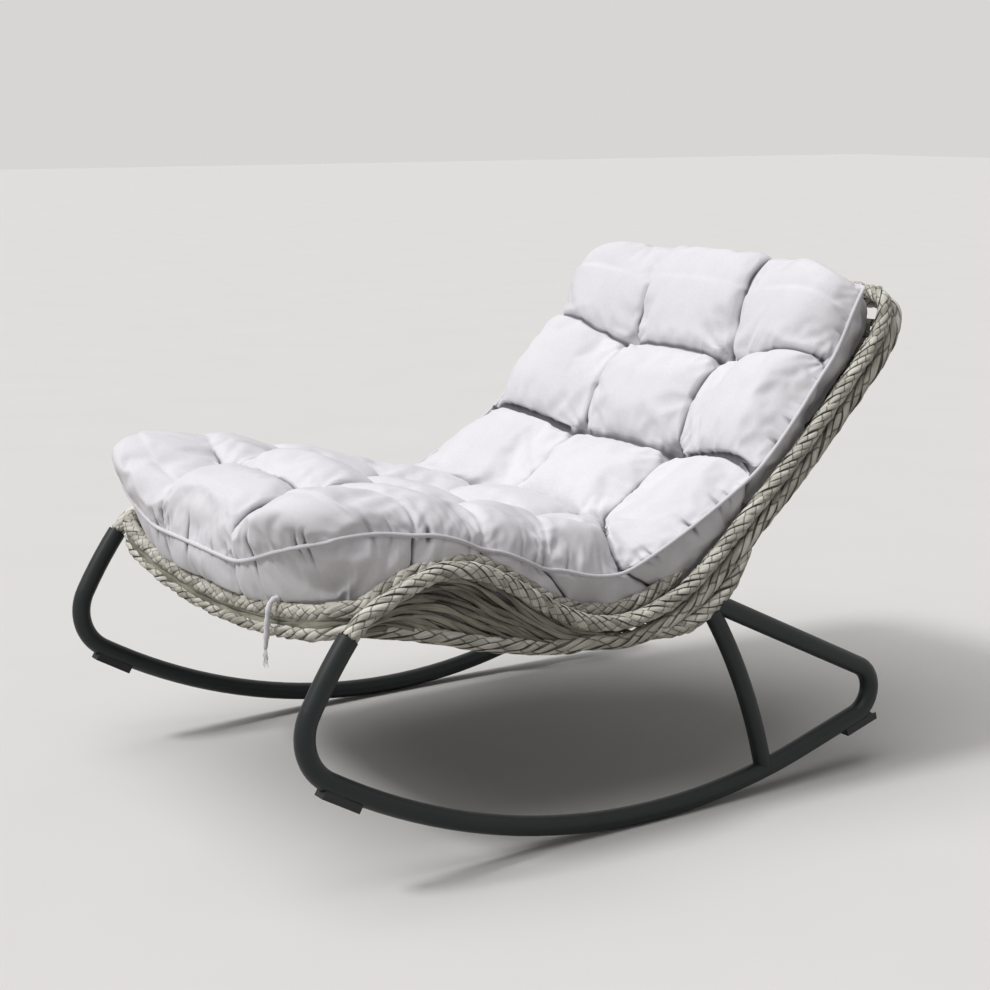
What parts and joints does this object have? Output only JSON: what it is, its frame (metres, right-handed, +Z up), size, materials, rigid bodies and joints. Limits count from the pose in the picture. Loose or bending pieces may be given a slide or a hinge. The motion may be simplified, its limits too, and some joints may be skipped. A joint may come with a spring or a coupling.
{
  "type": "rattan rocking chair",
  "caption": "Low rocking chair: bent-tube rocker loops carry a woven rattan basket seat with a loose, deep-tufted fabric cushion.",
  "frame": {"origin": "on the floor, under the middle of the chair's width and length", "axes": "+X to the sitter's left, the sitter faces -Y, +Z up"},
  "size_m": [0.816, 1.1614, 0.8211],
  "materials": {
    "coated_steel": "satin anthracite powder coat",
    "rattan": "grey-green woven rattan, matt",
    "cushion_fabric": "pale grey woven fabric",
    "stopper_rubber": "black rubber, matt"
  },
  "bodies": {
    "chair": {"rocker_frame_left": "coated_steel", "rocker_frame_right": "coated_steel", "strut_left": "coated_steel", "strut_right": "coated_steel", "stopper_front_left": "stopper_rubber", "stopper_front_right": "stopper_rubber", "stopper_rear_left": "stopper_rubber", "stopper_rear_right": "stopper_rubber", "stopper_screws": "coated_steel", "hoop_core": "coated_steel", "lower_core": "coated_steel", "hoop_rope": "rattan", "lower_rope": "rattan", "seat_edge_rope": "rattan", "side_panel_left": "rattan", "side_panel_right": "rattan", "seat_bar_front": "coated_steel", "seat_bar_rear": "coated_steel", "lumbar_bar": "coated_steel", "back_bar": "coated_steel", "seat_weave": "rattan", "seat_runners": "rattan", "back_weave": "rattan", "back_runners": "rattan"},
    "cushion": {"cushion": "cushion_fabric", "front_tie": "cushion_fabric"}
  },
  "joints": [
    {"name": "cushion_lift", "type": "slide", "parent": "chair", "child": "cushion", "axis": [0, 0, 1], "range_m": [0, 0.3]}
  ]
}
